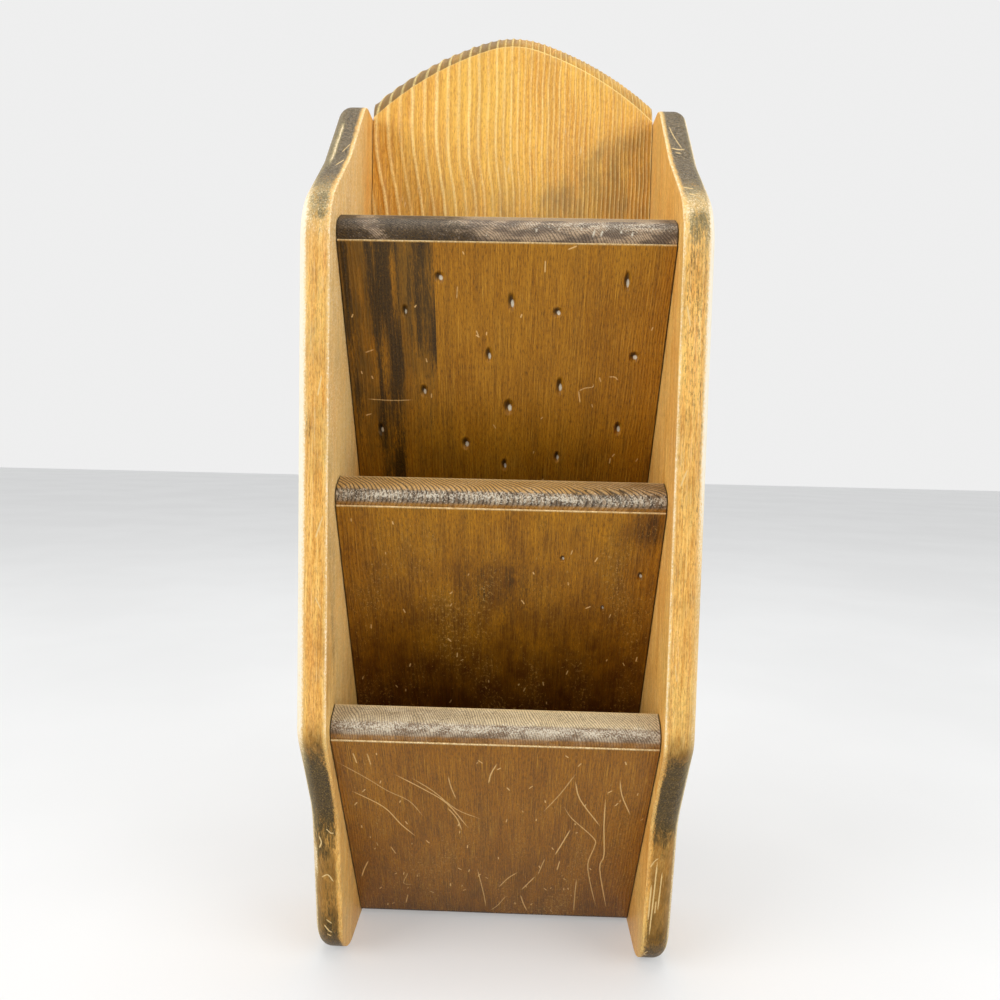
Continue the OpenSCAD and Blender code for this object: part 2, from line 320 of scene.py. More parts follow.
def corner_arc(a, b, c, r, steps):
    """The arc that rounds corner b between a and c."""
    u = (a - b) / np.linalg.norm(a - b)
    v = (c - b) / np.linalg.norm(c - b)
    half = np.arccos(np.clip(u @ v, -1, 1)) / 2
    centre = b + (u + v) / np.linalg.norm(u + v) * r / sin(half)
    start = b + u * r / tan(half) - centre
    turn = np.sign((b[0] - a[0]) * (c[1] - b[1]) - (b[1] - a[1]) * (c[0] - b[0]))
    angles = np.linspace(0, turn * (np.pi - 2 * half), steps + 1)
    return np.array([centre + (start[0] * cos(t) - start[1] * sin(t), start[0] * sin(t) + start[1] * cos(t))
                     for t in angles])


def crossing(p, q, r, s):
    """Where the line through p and q meets the line through r and s."""
    d, e, w = q - p, s - r, r - p
    return p + d * (w[0] * e[1] - w[1] * e[0]) / (d[0] * e[1] - d[1] * e[0])


def side_outline(inset):
    """The side's profile as [reach, z], moved inwards but along the wall, finely divided."""
    corners = np.array(SIDE_CORNERS, float)
    edges = []
    for a, b in zip(corners[:-1], corners[1:]):
        n = np.array([a[1] - b[1], b[0] - a[0]])
        n *= inset / np.linalg.norm(n)
        edges.append((a + n, b + n))
    wall = (corners[0], corners[-1])
    points = [crossing(*edges[0], *wall)]
    points += [crossing(*e, *f) for e, f in zip(edges[:-1], edges[1:])]
    points += [crossing(*edges[-1], *wall)]
    pieces = [points[0][None]]
    for i in range(1, len(points) - 1):
        r = SIDE_RADII[i]
        r = inset - r if r < 0 else max(r - inset, 0.5)
        steps = max(6, int(abs(SIDE_RADII[i]) * 0.5))
        pieces.append(corner_arc(points[i - 1], points[i], points[i + 1], r, steps))
    pieces.append(points[-1][None])
    outline = [pieces[0]]
    for k, (before, after) in enumerate(zip(pieces[:-1], pieces[1:])):
        length = np.linalg.norm(np.subtract(SIDE_CORNERS[k + 1], SIDE_CORNERS[k]))
        cuts = max(1, int(length / 2.5))
        t = np.linspace(0, 1, cuts + 1)[1:-1, None]
        outline.append(before[-1] * (1 - t) + after[0] * t)
        outline.append(after)
    return np.concatenate(outline)


def arch(x, inset):
    """Height of the arch at x, moved inwards."""
    x = np.abs(x)
    centre_z = ARCH_H - CROWN_R
    shoulder_x = -(SHOULDER_R - CROWN_R) * sin(CROWN_ANGLE)
    shoulder_z = centre_z - (SHOULDER_R - CROWN_R) * cos(CROWN_ANGLE)
    crown, shoulder = CROWN_R - inset, SHOULDER_R - inset
    on_crown = centre_z + np.sqrt(np.maximum(crown ** 2 - x ** 2, 0))
    on_shoulder = shoulder_z + np.sqrt(shoulder ** 2 - (x - shoulder_x) ** 2)
    return np.where(x < crown * sin(CROWN_ANGLE), on_crown, on_shoulder)


# Meshes

def grid_mesh(rows):
    """A closed skin through rows of points with equal counts. Each row is a ring, and the ends are capped."""
    bm = bmesh.new()
    rings = [[bm.verts.new(p) for p in row] for row in rows]
    for a, b in zip(rings[:-1], rings[1:]):
        for i in range(len(a)):
            j = (i + 1) % len(a)
            bm.faces.new((a[i], a[j], b[j], b[i]))
    bm.faces.new(rings[0][::-1])
    bm.faces.new(rings[-1])
    bmesh.ops.recalc_face_normals(bm, faces=bm.faces)
    return bm


def new_object(name, data):
    obj = bpy.data.objects.new(name, data)
    bpy.context.scene.collection.objects.link(obj)
    return obj


def mesh_object(name, bm):
    mesh = bpy.data.meshes.new(name)
    bm.to_mesh(mesh)
    bm.free()
    return new_object(name, mesh)


def finish_mesh(name, bm, material, node):
    """Makes an object of bm that replaces the solids of node and rides on the root."""
    obj = mesh_object(name, bm)
    obj.data.materials.append(material)
    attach(obj, ROOT)
    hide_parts(node)
    return obj


def smooth_by_angle(obj):
    obj.data.shade_smooth()
    obj.data.set_sharp_from_angle(angle=SHARP_ANGLE)


def cut_with(obj, cutter_bm):
    """Cuts the cutter's solids out of obj, for good."""
    cutter = mesh_object("cutter", cutter_bm)
    mesh = cutter.data
    modifier = obj.modifiers.new("cut", "BOOLEAN")
    modifier.operation, modifier.object, modifier.solver = "DIFFERENCE", cutter, "EXACT"
    bpy.context.view_layer.update()
    cut = bpy.data.meshes.new_from_object(obj.evaluated_get(bpy.context.evaluated_depsgraph_get()))
    obj.modifiers.clear()
    old = obj.data
    obj.data = cut
    cut.name = old.name
    bpy.data.meshes.remove(old)
    bpy.data.objects.remove(cutter)
    bpy.data.meshes.remove(mesh)


def add_cylinder(bm, start, end, r):
    axis = Vector(end) - Vector(start)
    turn = axis.to_track_quat("Z", "Y").to_matrix().to_4x4()
    place = Matrix.Translation((Vector(start) + Vector(end)) / 2) @ turn
    bmesh.ops.create_cone(bm, cap_ends=True, segments=20, radius1=r, radius2=r, depth=axis.length,
                          matrix=place)


def points_of(obj):
    """The mesh's points in mm, as x, reach from the wall, z."""
    co = np.empty(len(obj.data.vertices) * 3, np.float32)
    obj.data.vertices.foreach_get("co", co)
    co = co.reshape(-1, 3).astype(float) / MM
    return np.column_stack([co[:, 0], WALL_Y - co[:, 1], co[:, 2]])


def move_points(obj, points):
    co = np.column_stack([points[:, 0], WALL_Y - points[:, 1], points[:, 2]]) * MM
    obj.data.vertices.foreach_set("co", co.astype(np.float32).ravel())
    obj.data.update()


def to_scene(x, reach, z):
    return Vector((x * MM, (WALL_Y - reach) * MM, z * MM))


def set_values(obj, grain, **values):
    """Writes the wood's directions and the named values, one for each point."""
    mesh = obj.data
    layer = mesh.attributes.new("grain", "FLOAT_VECTOR", "POINT")
    layer.data.foreach_set("vector", np.ascontiguousarray(grain, np.float32).ravel())
    for key in MARKS:
        layer = mesh.attributes.new(key, "FLOAT", "POINT")
        column = np.broadcast_to(np.asarray(values.get(key, 0.0), np.float32), len(mesh.vertices))
        layer.data.foreach_set("value", np.ascontiguousarray(column))


def bell(distance, width):
    """1 at no distance, falling smoothly to 0 at width."""
    t = np.clip(1 - np.abs(distance) / width, 0, 1)
    return t * t * (3 - 2 * t)


def wobble(points, scale, seed):
    """Smooth noise from -1 to 1 at each point."""
    return np.array([noise.noise(Vector((p[0] * scale + seed, p[1] * scale, p[2] * scale))) for p in points])


# Side boards

NAIL_NODES = ("back_board_nails", "top_pocket_nails", "middle_pocket_nails", "bottom_pocket_nails")
NAIL_HOLE_R, NAIL_HOLE_DEPTH = 1.35, 1.4


def nail_places():
    """[reach, z] of every nail head, from the solids of the nails."""
    places = []
    for node in NAIL_NODES:
        points = points_of(frame["nodes"][node])
        points = points[points[:, 0] > HALF_W - 1.0]
        for p in points:
            if all(np.hypot(*(p[1:] - q)) > 4 for q in places):
                group = points[np.hypot(*(points[:, 1:] - p[1:]).T) < 4]
                places.append(group[:, 1:].mean(0))
    return places


def side_layers():
    """[distance from the inner face, inset of the outline] through the board's thickness."""
    layers = [(0.0, 0.7), (0.12, 0.28), (0.4, 0.05), (0.9, 0.0)]
    layers += [(u, 0.0) for u in np.arange(1.9, SIDE_T - SIDE_ROUND - 0.3, 1.0)]
    layers += [(SIDE_T - SIDE_ROUND * (1 - sin(a)), SIDE_ROUND * (1 - cos(a)))
               for a in np.radians(np.arange(0, 91, 10))]
    return layers


def side_board(name, sign, material):
    bm = grid_mesh([[to_scene(sign * (INNER_W + u), r, z) for r, z in side_outline(inset)]
                    for u, inset in side_layers()])

    def near(middles, span):
        u, z = np.abs(middles[:, 0]) / MM - INNER_W, middles[:, 2] / MM
        return (scratched(EDGE_SCRATCHES[sign], z, u, 1)[1] < span + 0.5) & (u > 0.3) & (u < SIDE_T - 1)

    refine(bm, near)
    obj = finish_mesh(name + "_wood", bm, material, name)
    cutter = bmesh.new()
    for reach, z in nail_places():
        add_cylinder(cutter, to_scene(sign * (HALF_W + 1), reach, z),
                     to_scene(sign * (HALF_W - NAIL_HOLE_DEPTH), reach, z), NAIL_HOLE_R * MM)
    cut_with(obj, cutter)
    smooth_by_angle(obj)
    finish_side(obj, sign)


# How dark the stain lies along a side's front edge, from the foot to the top
STAIN_HEIGHTS = [0, 12, 30, 48, 66, 78, 100, 110, 120, 130, 322, 332, 342, 350, 360, 404]
LEFT_STAIN = [0.75, 0.55, 0.3, 0.2, 0.4, 0.7, 0.88, 0.6, 0.15, 0.0, 0.0, 0.35, 0.6, 0.5, 0.8, 0.7]
RIGHT_STAIN = [0.75, 0.5, 0.25, 0.05, 0.3, 0.62, 0.98, 0.7, 0.15, 0.0, 0.25, 0.55, 0.35, 0.6, 0.85, 0.9]

# Scratches on the left (-1) and right (1) front edge as [height, distance from the inner face]
EDGE_SCRATCHES = {
    -1: [[(377, 2), (371, 5)], [(366, 2.5), (362, 5)], [(71, 6), (69, 4), (69, 2.5)],
         [(67, 9.5), (64, 8.5), (61, 9.5)], [(46, 9), (47.5, 6), (44, 3.5)], [(24, 7.5), (22, 5)],
         [(21, 8.5), (18, 6.5), (17, 5)], [(16, 7.5), (14.5, 5.5)], [(270, 3), (262, 4.5)],
         [(214, 2), (205, 5)], [(181, 5), (176, 2.5)]],
    1: [[(392, 3), (384, 4.5), (376, 7)], [(377, 2), (376, 5), (376, 8)], [(374, 3.5), (373.5, 6)],
        [(350, 2), (349, 6)], [(346, 3.5), (345, 6)], [(62, 5), (60, 3), (57, 1.5)],
        [(60, 4.5), (44, 4), (22, 3.2)], [(55, 7), (35, 6.2)], [(48, 2.6), (30, 2.2)],
        [(12, 3.5), (9.5, 2), (8, 3.5)], [(40, 5.2), (33, 5)], [(300, 2.5), (292, 4)],
        [(236, 5), (229, 2.5)], [(158, 3), (150, 4)]]}


def finish_side(obj, sign):
    """Wears, stains and scratches a side board, and paints light on the left one's inner face. sign is -1 on
    the left and 1 on the right.
    """
    p = points_of(obj)
    u = np.abs(p[:, 0]) - INNER_W
    reach, z = p[:, 1], p[:, 2]
    left = sign < 0
    inner = (u < 0.05) & (z < SIDE_H - 1)
    on_edge = (u > 0.05) & (u < SIDE_T - 0.05) & (reach > 3)
    slope = np.interp(z, [326, 345], [0, 1])
    leg = np.interp(z, [112, 126], [1, 0])

    # Wear: both arrises, the outer rounding between slope and leg, and broad speckled borders on the slopes
    worn = bell(u - 0.45, 1.3) * (0.5 - 0.3 * leg)
    worn = np.maximum(worn, bell(u - 0.5, 2.1) * slope * 0.42)
    blotch = bell(u - (5 if left else 6.5), 6.5) * bell(z - (337 if left else 333), 13)
    blotch *= (0.85 + 0.5 * wobble(p, 0.22, 17))
    worn = np.maximum(worn, 0.52 * bell(z - 336, 22) * np.clip(u / 2, 0, 1) * (1 - 0.8 * blotch))
    outer = np.clip((u - (SIDE_T - SIDE_ROUND) - (1.6 if left else 2.4)) / 2.2, 0, 1)
    along = [0.1, 0.75, 0.8, 0.9, 0.85, 0.25, 0.1] if left else [0.1, 0.4, 0.4, 0.9, 0.85, 0.25, 0.1]
    worn = np.maximum(worn, outer * np.interp(z, [100, 128, 190, 240, 335, 356, 404], along))
    worn = np.maximum(worn, bell(u - 12.6, 1.4) * np.maximum(leg * 0.55, 0.0 if left else slope * 0.8))
    if left:
        worn = np.maximum(worn, np.interp(z, [42, 50, 60, 66], [0, 1, 1, 0]) * bell(u - 11.6, 1.8) * 0.55)
        worn = np.maximum(worn, np.interp(z, [360, 367, 388, 393], [0, 1, 1, 0]) * bell(u - 8.4, 1.5) * 0.6)
    # Painted light: the left inner face is painted paler towards the front and the top; the right inner face
    # gets none
    pale = np.interp(reach, [15, 50], [0.2, 0.4]) * np.interp(z, [110, 270], [0.45, 1])
    worn = np.where(inner, pale if left else 0.0, worn)

    # Stain: dark on the slopes and legs, olive round the dark
    stain = np.interp(z, STAIN_HEIGHTS, LEFT_STAIN if left else RIGHT_STAIN)
    stain = stain * on_edge * np.clip((u - np.where(z > 200, 1.2, 0.8)) / 1.4, 0, 1)
    stain *= np.where(z > 200, np.clip((SIDE_T + 2 - u) / 4.5, 0, 1), 1)
    stain = np.maximum(stain, 0.72 * blotch)
    if left:
        stain = np.maximum(stain, 0.34 * bell(z - 250, 15) * bell(u - 8.5, 5) * on_edge)
    patches = wobble(p * (1, 1, 0.45), 0.06, 23 * sign)
    mould = bell(z - 250, 75) * np.clip(0.3 + 0.5 * wobble(p * (1, 1, 0.6), 0.05, 41), 0, 1)
    inside = 0.15 + mould * np.interp(reach, [20, 60], [0.3, 1]) if left else 0.0
    stain = np.where(inner, 0.55 * mould * left, stain)
    shade = np.where(inner, inside, np.clip(0.05 + 0.22 * patches, 0, 1))
    stained = np.interp(z, [0, 60, 118, 132, 322, 334, 350, 404],
                        [0.75, 0.55, 0.7, 0.0, 0.0, 0.4, 0.6, 0.75])
    shade = np.maximum(shade, stained * np.clip((u - 0.8) / 2, 0, 1) * on_edge)
    scar = scratched(EDGE_SCRATCHES[sign], z, u, 0.55)[0] * on_edge
    grain = np.column_stack([reach + (0 if left else WOOD_START["side"]), p[:, 0], z])
    wave = 0.22 * np.abs(wobble(p, 0.045, 11 * sign)) + 0.12 * scar
    p[:, 1] -= np.where(on_edge & (u > 0.2), wave, 0)
    move_points(obj, p)
    scuff = np.where(inner, 1.5 * left, 0.0)
    set_values(obj, grain, worn=worn * (on_edge | inner), scuff=scuff, stain=stain, shade=shade, scar=scar,
               rub=slope * 0.6)


# Back board

# The keyhole, as in the solids
KEY_H, KEY_MOUTH_D, KEY_NECK_W, KEY_TRAVEL, KEY_DEPTH, KEY_LIP = 372, 9.5, 4.8, 16, 9, 3

RIDGE = 0.45          # how far the growth lines stand proud
# Across the board: spacing of the growth lines, and how they slant with depth and with height
LINE_X = [-69, -40, -18, 0, 20, 45, 69]
LINE_PITCH = [6.4, 5.8, 4.8, 3.3, 2.7, 2.2, 1.8]
LINE_SLANT = [0.95, 0.6, 0.3, 0.1, 0.0, -0.2, -0.3]
LINE_LEAN = [0.15, 0.13, 0.11, 0.07, 0.03, 0.01, 0.0]
LINE_STRENGTH = [1.0, 1.0, 0.95, 0.85, 0.85, 0.8, 0.8]

# Nicks in the back board as [across, height]
BACK_SCRATCHES = [
    [(4, 398), (5, 394)], [(-1, 384), (-1.5, 378)], [(-45.5, 373), (-46.5, 368)], [(-44, 372), (-45, 371)],
    [(-54, 366), (-51, 360)], [(26, 402), (26.5, 397)], [(34, 391), (34, 388)], [(27, 420), (28, 416)]]


def growth(points):
    """Number of growth lines from the board's left edge, at each point."""
    x, depth, z = points[:, 0], BACK_T - points[:, 1], points[:, 2]
    x = x - np.interp(x, LINE_X, LINE_SLANT) * np.maximum(depth, 0)
    below = np.maximum(400 - z, 0)
    below = np.where(below < 70, below, 70 + 40 * (1 - np.exp(-(below - 70) / 40)))
    x = x - np.interp(x, LINE_X, LINE_LEAN) * below * np.minimum(below / 30, 1)
    sway = np.column_stack([x * 0.5, np.zeros_like(x), np.where(z > 330, z, 330 - (330 - z) * 0.3)])
    x = x + 0.55 * wobble(sway, 0.06, 3)
    steps = np.linspace(-90, 90, 721)
    count = np.concatenate([[0], np.cumsum(np.diff(steps) / np.interp(steps[1:], LINE_X, LINE_PITCH))])
    return np.interp(x, steps, count)


def back_board(material):
    columns = np.concatenate([np.arange(-INNER_W, INNER_W, 0.42), [INNER_W]]) * (INNER_W - END_GAP) / INNER_W
    heights = list(np.linspace(0, 336, 43))
    rows = []
    for x in columns:
        step_z = float(arch(x, NOSE_R))
        front = heights + list(np.linspace(342, step_z - 0.7, 26)) + [step_z]
        ring = [(BACK_T, z) for z in front]
        ring += [(BACK_T - NOSE_STEP * 0.5, step_z + 0.02), (BACK_T - NOSE_STEP, step_z + 0.05)]
        for a in np.radians(np.arange(10, 91, 10)):
            ring.append((BACK_T - NOSE_STEP - NOSE_R * (1 - cos(a)), float(arch(x, NOSE_R * (1 - sin(a))))))
        top = float(arch(x, 0))
        ring += [(3.6, top), (1.2, top), (0.35, top - 0.12), (0.0, top - 0.6)]
        ring += [(0.0, z) for z in (410 if top > 412 else 405, 360, 300, 200, 100, 0)]
        rows.append([to_scene(x, r, z) for r, z in ring])
    obj = finish_mesh("back_board_wood", grid_mesh(rows), material, "back_board")
    cut_keyhole(obj)
    smooth_by_angle(obj)
    finish_back(obj)


def upright_slot(width, low, high, near, deep):
    """A closed upright slot with round ends, between two depths from the wall."""
    angles = np.radians(np.arange(0, 181, 15))
    r = width / 2
    outline = [(r * cos(a), high + r * sin(a)) for a in angles]
    outline += [(-r * cos(a), low - r * sin(a)) for a in angles]
    return grid_mesh([[to_scene(x, d, z) for x, z in outline] for d in (near, deep)])


def cut_keyhole(obj):
    """The mouth, the neck and the wider slot behind it, cut from the wall side."""
    cut_with(obj, upright_slot(KEY_MOUTH_D, KEY_H, KEY_H + 0.02, -1, KEY_DEPTH))
    cut_with(obj, upright_slot(KEY_NECK_W, KEY_H, KEY_H + KEY_TRAVEL, -1, KEY_DEPTH - 0.05))
    cut_with(obj, upright_slot(KEY_MOUTH_D - 0.03, KEY_H, KEY_H + KEY_TRAVEL, KEY_LIP, KEY_DEPTH - 0.02))


def finish_back(obj):
    """Raises the growth lines, and wears and shades the back board."""
    p = points_of(obj)
    x, reach, z = p.T
    lines = growth(p)
    on_front = reach > BACK_T - 0.01
    rim = (z > arch(x, NOSE_R + 0.6)) & (reach > 0.3) & ~on_front
    strength = np.interp(x, LINE_X, LINE_STRENGTH) * (on_front | rim)
    strength *= (0.5 + 0.5 * (np.floor(lines) * GOLDEN % 1))
    ridge = bell(lines % 1 - 0.5, 0.3) * strength
    out = np.column_stack([np.zeros_like(x), np.maximum(reach - (BACK_T - NOSE_STEP - NOSE_R), 0),
                           z - arch(x, NOSE_R)])
    out /= np.maximum(np.linalg.norm(out, axis=1, keepdims=True), 1e-6)
    out[on_front] = (0, 1, 0)
    moved = np.where(rim, 1.5, 1.0) * (RIDGE * (ridge - 1.0)) * (on_front | rim)
    nick = scratched(BACK_SCRATCHES, x, z, 0.8)[0] * on_front
    p += out * (moved - 0.25 * nick)[:, None]
    move_points(obj, p)
    step = bell(z - arch(x, NOSE_R), 0.9) * (reach > BACK_T - NOSE_STEP * 0.7)
    worn = step * np.interp(x, [-69, 0, 12], [0.4, 0.5, 0.85])
    worn = np.maximum(worn, bell(reach - 1.5, 2.5) * rim * 0.5)
    # Painted shadow: a darker patch at the lower right, out to where the right side board's shadow ends
    edge = np.interp(x, [8, 15, 30, 44, 69], [340, 372, 388, 398, 408])
    painted_shadow_patch = np.clip((edge - z) / 9, 0, 1) * np.clip((x - 4) / 10, 0, 1) * 0.33
    low = np.interp(z, [345, 380], [0.22, 0.0])
    nose = rim * np.interp(x, [-69, -8, 10, 69], [0.8, 0.7, 0.3, 0.35])
    shade = np.maximum.reduce([painted_shadow_patch * on_front, low * on_front, nose])
    grain = np.column_stack([x + WOOD_START["back"], reach, z])
    set_values(obj, grain, worn=worn, shade=shade, scar=nick * 0.9, growth=lines, ridge=strength)


# Pocket boards

def pocket_section(pocket):
    """The board's outline as [down the face, into the thickness], from the step line round."""
    reach, height, lean = pocket
    tip = height - (reach - BACK_T - TIP_W) / tan(lean)
    low = max(FOOT_GAP, tip)
    face_end = (height - low) / cos(lean)
    back_end = (reach - BACK_T - BOARD_T * cos(lean)) / sin(lean)
    wall_low = ((reach - BACK_T) * sin(lean) + (height - low) * cos(lean),
                (reach - BACK_T) * cos(lean) - (height - low) * sin(lean))
    section = [(0.0, 0.0), (0.25, 0.0), (0.8, 0.0)]
    section += [(s, 0.0) for s in np.linspace(1.6, face_end - 0.5, int(face_end / 2))]
    section += [(face_end, 0.15), wall_low, (back_end, BOARD_T)]
    section += [(s, BOARD_T) for s in np.linspace(back_end - 4, 4, 12)]
    section += [(-NOSE_R + 2.5, BOARD_T), (-NOSE_R + 0.6, BOARD_T), (-NOSE_R + 0.15, BOARD_T - 0.15),
                (-NOSE_R, BOARD_T - 0.6), (-NOSE_R, BOARD_T - 2), (-NOSE_R, BOARD_T - 4)]
    for a in np.radians(np.arange(90, 4, -9)):
        section.append((-NOSE_R * sin(a), NOSE_STEP + NOSE_R * (1 - cos(a))))
    section += [(0.0, NOSE_STEP), (0.0, NOSE_STEP * 0.5)]
    return section, face_end


def board_point(pocket, s, w):
    """Reach and height of the point s down the face and w into the thickness."""
    reach, height, lean = pocket
    return reach - s * sin(lean) - w * cos(lean), height - s * cos(lean) + w * sin(lean)


# The streaked quarter of the top board: where it ends, and how black its streaks are
STREAK_EDGE = -29.6
STREAK_X = [-69, -66, -64, -60, -56, -50, -46, -42, -38, -34, -31, -29.6]
STREAK_DEPTH = [0.15, 0.5, 0.2, 0.12, 0.4, 0.5, 0.42, 0.2, 0.42, 0.3, 0.42, 0.6]

# Marks on the boards as [across, down the face] in mm, the dents with their two half sizes
TOP_DENTS = [
    (-27.5, 14.5, 2.2, 2.4), (2.5, 24.5, 1.7, 4.0), (22, 28.5, 2.0, 2.2), (50, 15, 1.4, 4.2),
    (-42.5, 29, 1.2, 2.8), (-7, 48, 1.5, 3.6), (56, 47.5, 2.2, 2.4), (24.5, 62, 1.6, 4.2),
    (-36, 65.5, 1.6, 3.0), (2, 72.5, 2.2, 3.8), (52, 82, 1.7, 3.4), (-56.5, 85, 1.5, 3.2),
    (-17.5, 91.5, 2.0, 3.2), (0.5, 102.5, 1.4, 3.2), (25, 97.5, 1.4, 3.0)]
MIDDLE_DENTS = [(27, 24, 1.2, 1.6), (61, 32, 1.2, 2.2), (46, 50, 0.9, 1.6)]
DENT = 1.2            # depth of a dent
# Chips in the top board's nose, as [across, down the face] with their two half sizes
NOSE_NICKS = [
    (12, -4.4, 1.3, 1.6), (35.0, -3.6, 1.2, 3.2), (38.2, -3.6, 1.3, 2.8), (46, -4.2, 1.0, 1.8),
    (50.4, -3.4, 1.2, 2.2), (21, -5.0, 0.7, 1.4), (-8, -2.6, 0.7, 1.5), (30, -5.2, 0.8, 1.2)]
TOP_SCRATCHES = [
    [(-20, 18), (-20.5, 23.5)], [(25, 2.5), (28.5, 1)], [(33, 64), (36, 62.5), (39, 62), (39.5, 60.5)],
    [(33, 64), (34, 69.5)], [(46, 57), (48.5, 57), (50, 58.5)], [(-62, 70), (-51, 70.5), (-41, 70)],
    [(-12.5, 39), (-11, 40)], [(-34.5, 50), (-34, 52)], [(7, 29.5), (6.5, 31)], [(16, 7), (16, 12)],
    [(-61, 48), (-57, 46.5)]]
BOTTOM_SCRATCHES = [
    [(-68, 14), (-56, 25), (-47, 34), (-38, 41), (-32, 53)], [(-43, 22), (-31, 32), (-21, 42), (-12, 60)],
    [(-36, 24), (-27, 33), (-17, 46), (-6, 53)], [(-63, 35), (-50, 46), (-43, 59), (-37, 68)],
    [(-21, 45), (-17, 53), (-15, 62)], [(35, 17), (29, 32), (22, 46)], [(35, 23), (38, 36), (48, 55)],
    [(31, 41), (35, 50), (46, 65), (47, 72), (45, 87), (48, 107), (52, 126)],
    [(49, 35), (50, 55), (52, 79), (51, 91), (57, 126)], [(54, 21), (56, 32), (61, 46)],
    [(-8, 95), (-5, 118), (-4, 130)], [(20, 100), (14, 112)], [(-49, 78), (-47, 84)],
    [(-42, 100), (-45, 110), (-40, 111)], [(-60, 8), (-59, 15)], [(-54, 8), (-53, 16)],
    [(29, 80), (31.5, 71.5), (35, 59)], [(2.5, 110.5), (7, 102), (11.5, 96.5)],
    [(-1.5, 133), (2, 128), (6, 119)], [(13.5, 117.5), (15, 125), (17, 132)],
    [(41, 132), (40.5, 115.5), (40.5, 100)], [(-65.5, 105), (-63.5, 98), (-61, 91)],
    [(-45, 129), (-43.5, 120.5)], [(-20, 22), (-19, 29.5), (-17, 38)],
    [(-2.5, 26), (-1.5, 19.5), (1, 12.5)], [(30.5, 93.5), (31.5, 85)], [(21.5, 98), (23, 90), (24.5, 83)]]


def small_strokes(count, length, width, height):
    """Short scratches scattered over a face, most of them along the grain."""
    strokes = []
    for _ in range(count):
        x, s = rng.uniform(-width / 2, width / 2), rng.uniform(4, height)
        turn = rng.normal(0, 0.5)
        reach = rng.uniform(0.4, 1.0) * length / 2
        across, along = reach * sin(turn), reach * cos(turn)
        strokes.append([(x - across, s - along), (x + across, s + along)])
    return strokes


def curved(stroke):
    """A smooth run through the stroke's points."""
    p = np.array(stroke, float)
    p = np.vstack([2 * p[0] - p[1], p, 2 * p[-1] - p[-2]])
    run = []
    for a, b, c, d in zip(p[:-3], p[1:-2], p[2:-1], p[3:]):
        for t in np.linspace(0, 1, 5)[:-1]:
            run.append(b + 0.5 * t * (c - a + t * (2 * a - 5 * b + 4 * c - d + t * (3 * (b - c) + d - a))))
    return np.array(run + [p[-2]])


def scratched(strokes, x, s, width):
    """How strongly the strokes mark each point, and its distance from the nearest.

    A mark fades towards the ends of its stroke, and no two strokes press equally hard.
    """
    mark, nearest = np.zeros(len(x)), np.full(len(x), 99.0)
    for i, stroke in enumerate(strokes):
        run = curved(stroke)
        steps = np.linalg.norm(np.diff(run, axis=0), axis=1)
        start, whole = 0.0, steps.sum()
        pressure = 0.55 + 0.45 * ((i * GOLDEN) % 1)
        for a, b, step in zip(run[:-1], run[1:], steps):
            ab = (b - a) / max(step, 1e-6)
            t = np.clip((x - a[0]) * ab[0] + (s - a[1]) * ab[1], 0, step)
            distance = np.hypot(x - a[0] - ab[0] * t, s - a[1] - ab[1] * t)
            end = np.minimum(start + t, whole - start - t) / whole
            mark = np.maximum(mark, pressure * bell(distance, width) * np.clip(0.35 + 5 * end, 0, 1))
            nearest = np.minimum(nearest, distance)
            start += step
    return mark, nearest


def refine(bm, near):
    """Divides the faces whose middles are near a mark, and those nearer still again."""
    for k in range(DIVISIONS):
        faces = [f for f in bm.faces if len(f.verts) < 12]
        middles = np.array([f.calc_center_median() for f in faces])
        chosen = near(middles, 1.6 / 2 ** k)
        edges = {e for f, c in zip(faces, chosen) if c for e in f.edges}
        bmesh.ops.subdivide_edges(bm, edges=list(edges), cuts=1, use_grid_fill=True)


